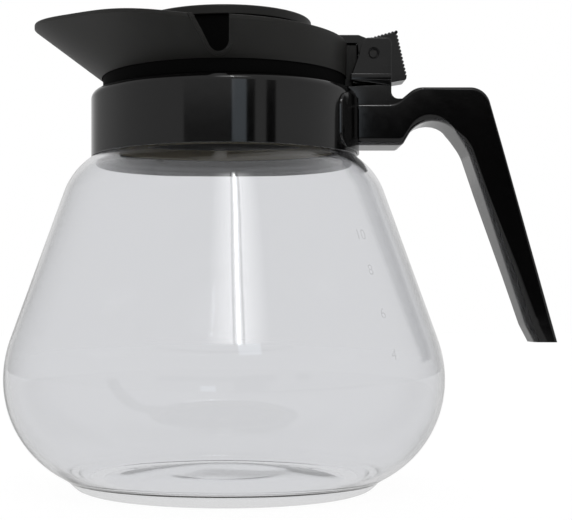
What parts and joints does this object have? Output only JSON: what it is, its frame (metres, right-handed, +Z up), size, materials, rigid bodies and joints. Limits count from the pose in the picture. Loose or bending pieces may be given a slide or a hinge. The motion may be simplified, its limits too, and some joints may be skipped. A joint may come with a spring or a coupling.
{
  "type": "coffee server carafe",
  "caption": "Glass coffee server with a black neck collar, raked handle, wide pouring funnel and a hinged lid worked by a thumb lever.",
  "frame": {"origin": "middle of the foot ring, on the surface that the carafe stands on", "axes": "+Z up along the bowl's axis, +X from the bowl to the handle, so the spout points along -X; +Y completes the right-handed frame"},
  "size_m": [0.2066, 0.165, 0.1757],
  "materials": {
    "clear_glass": "clear blown heat-proof glass",
    "gloss_black": "high gloss moulded",
    "satin_black": "satin moulded",
    "soft_rubber": "matt",
    "strap_steel": "brushed",
    "black_steel": "blackened",
    "insert_brass": "turned"
  },
  "bodies": {
    "jug": {"glass_bowl": "clear_glass", "neck_cushion": "soft_rubber", "clamp_band": "strap_steel", "clamp_screw": "strap_steel", "screw_insert": "insert_brass", "collar": "gloss_black", "handle": "gloss_black", "funnel_seal": "soft_rubber", "spout_funnel": "satin_black", "hinge_pin": "black_steel"},
    "lid": {"lid_cup": "satin_black", "lid_seal": "soft_rubber", "lid_cap": "satin_black", "lever_screws": "strap_steel", "thumb_lever": "gloss_black"}
  },
  "joints": [
    {"name": "lid_hinge", "type": "hinge", "parent": "jug", "child": "lid", "pos_m": [0.0554, 0, 0.16243], "axis": [0, 1, 0], "range_deg": [0, 70]}
  ]
}
